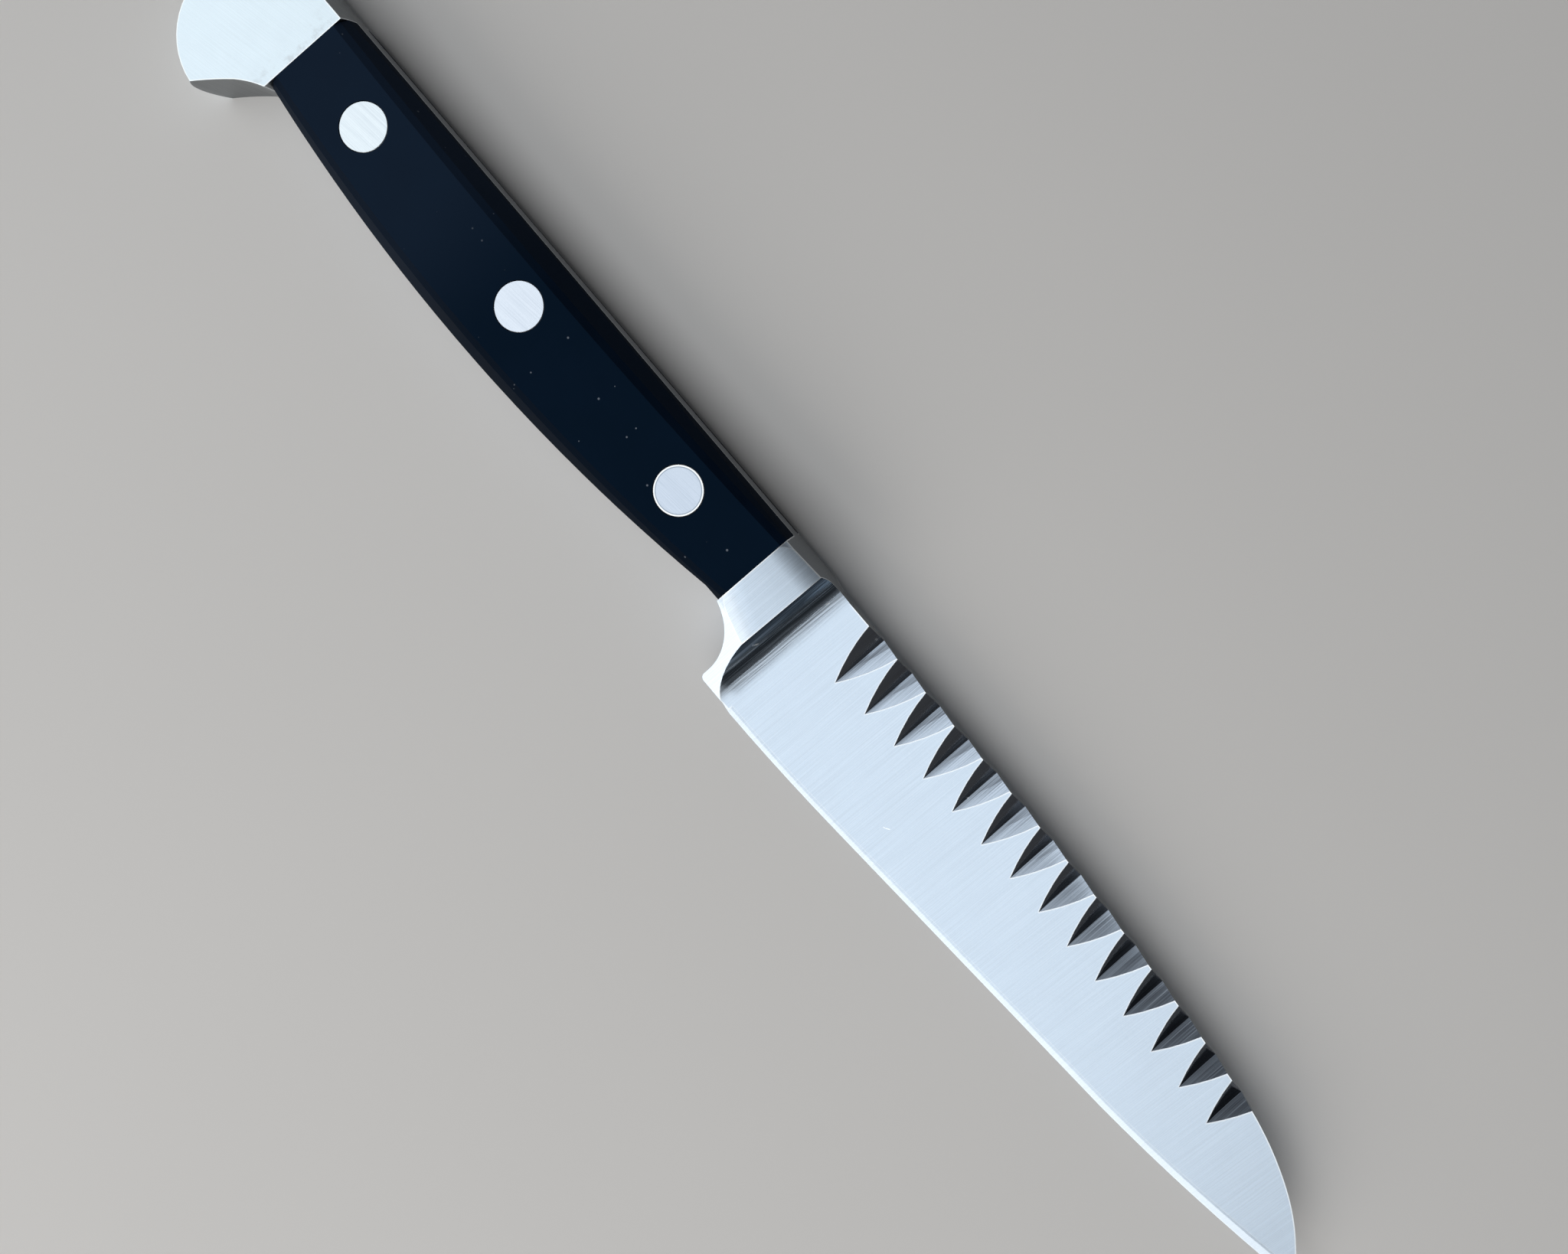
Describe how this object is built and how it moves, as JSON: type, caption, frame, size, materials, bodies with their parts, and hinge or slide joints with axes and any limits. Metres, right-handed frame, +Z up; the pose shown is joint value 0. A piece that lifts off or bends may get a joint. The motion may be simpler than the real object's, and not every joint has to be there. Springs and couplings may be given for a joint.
{
  "type": "decorating knife",
  "caption": "Forged decorating knife with a zigzag fluted back, a plain cutting edge, a bolster with finger notch, a butt cap and two dark scales held by rivets, lying on its side.",
  "frame": {"origin": "Under the middle of the knife's bounding box, on the surface it lies on.", "axes": "X runs along the knife from the butt cap to the tip, Y across it from the cutting edge to the fluted back, Z up through its thickness."},
  "size_m": [0.2096, 0.0216, 0.011],
  "materials": {
    "blade_steel": "satin, brushed across the blade",
    "scale_plastic": "satin, very dark blue-black",
    "rivet_metal": "satin, ground flush with the scales"
  },
  "bodies": {
    "root": {"blade": "blade_steel", "upper_scale": "scale_plastic", "lower_scale": "scale_plastic", "rear_rivet_tube": "rivet_metal", "rear_rivet_pin": "rivet_metal", "middle_rivet_tube": "rivet_metal", "middle_rivet_pin": "rivet_metal", "front_rivet_tube": "rivet_metal", "front_rivet_pin": "rivet_metal"}
  },
  "joints": []
}
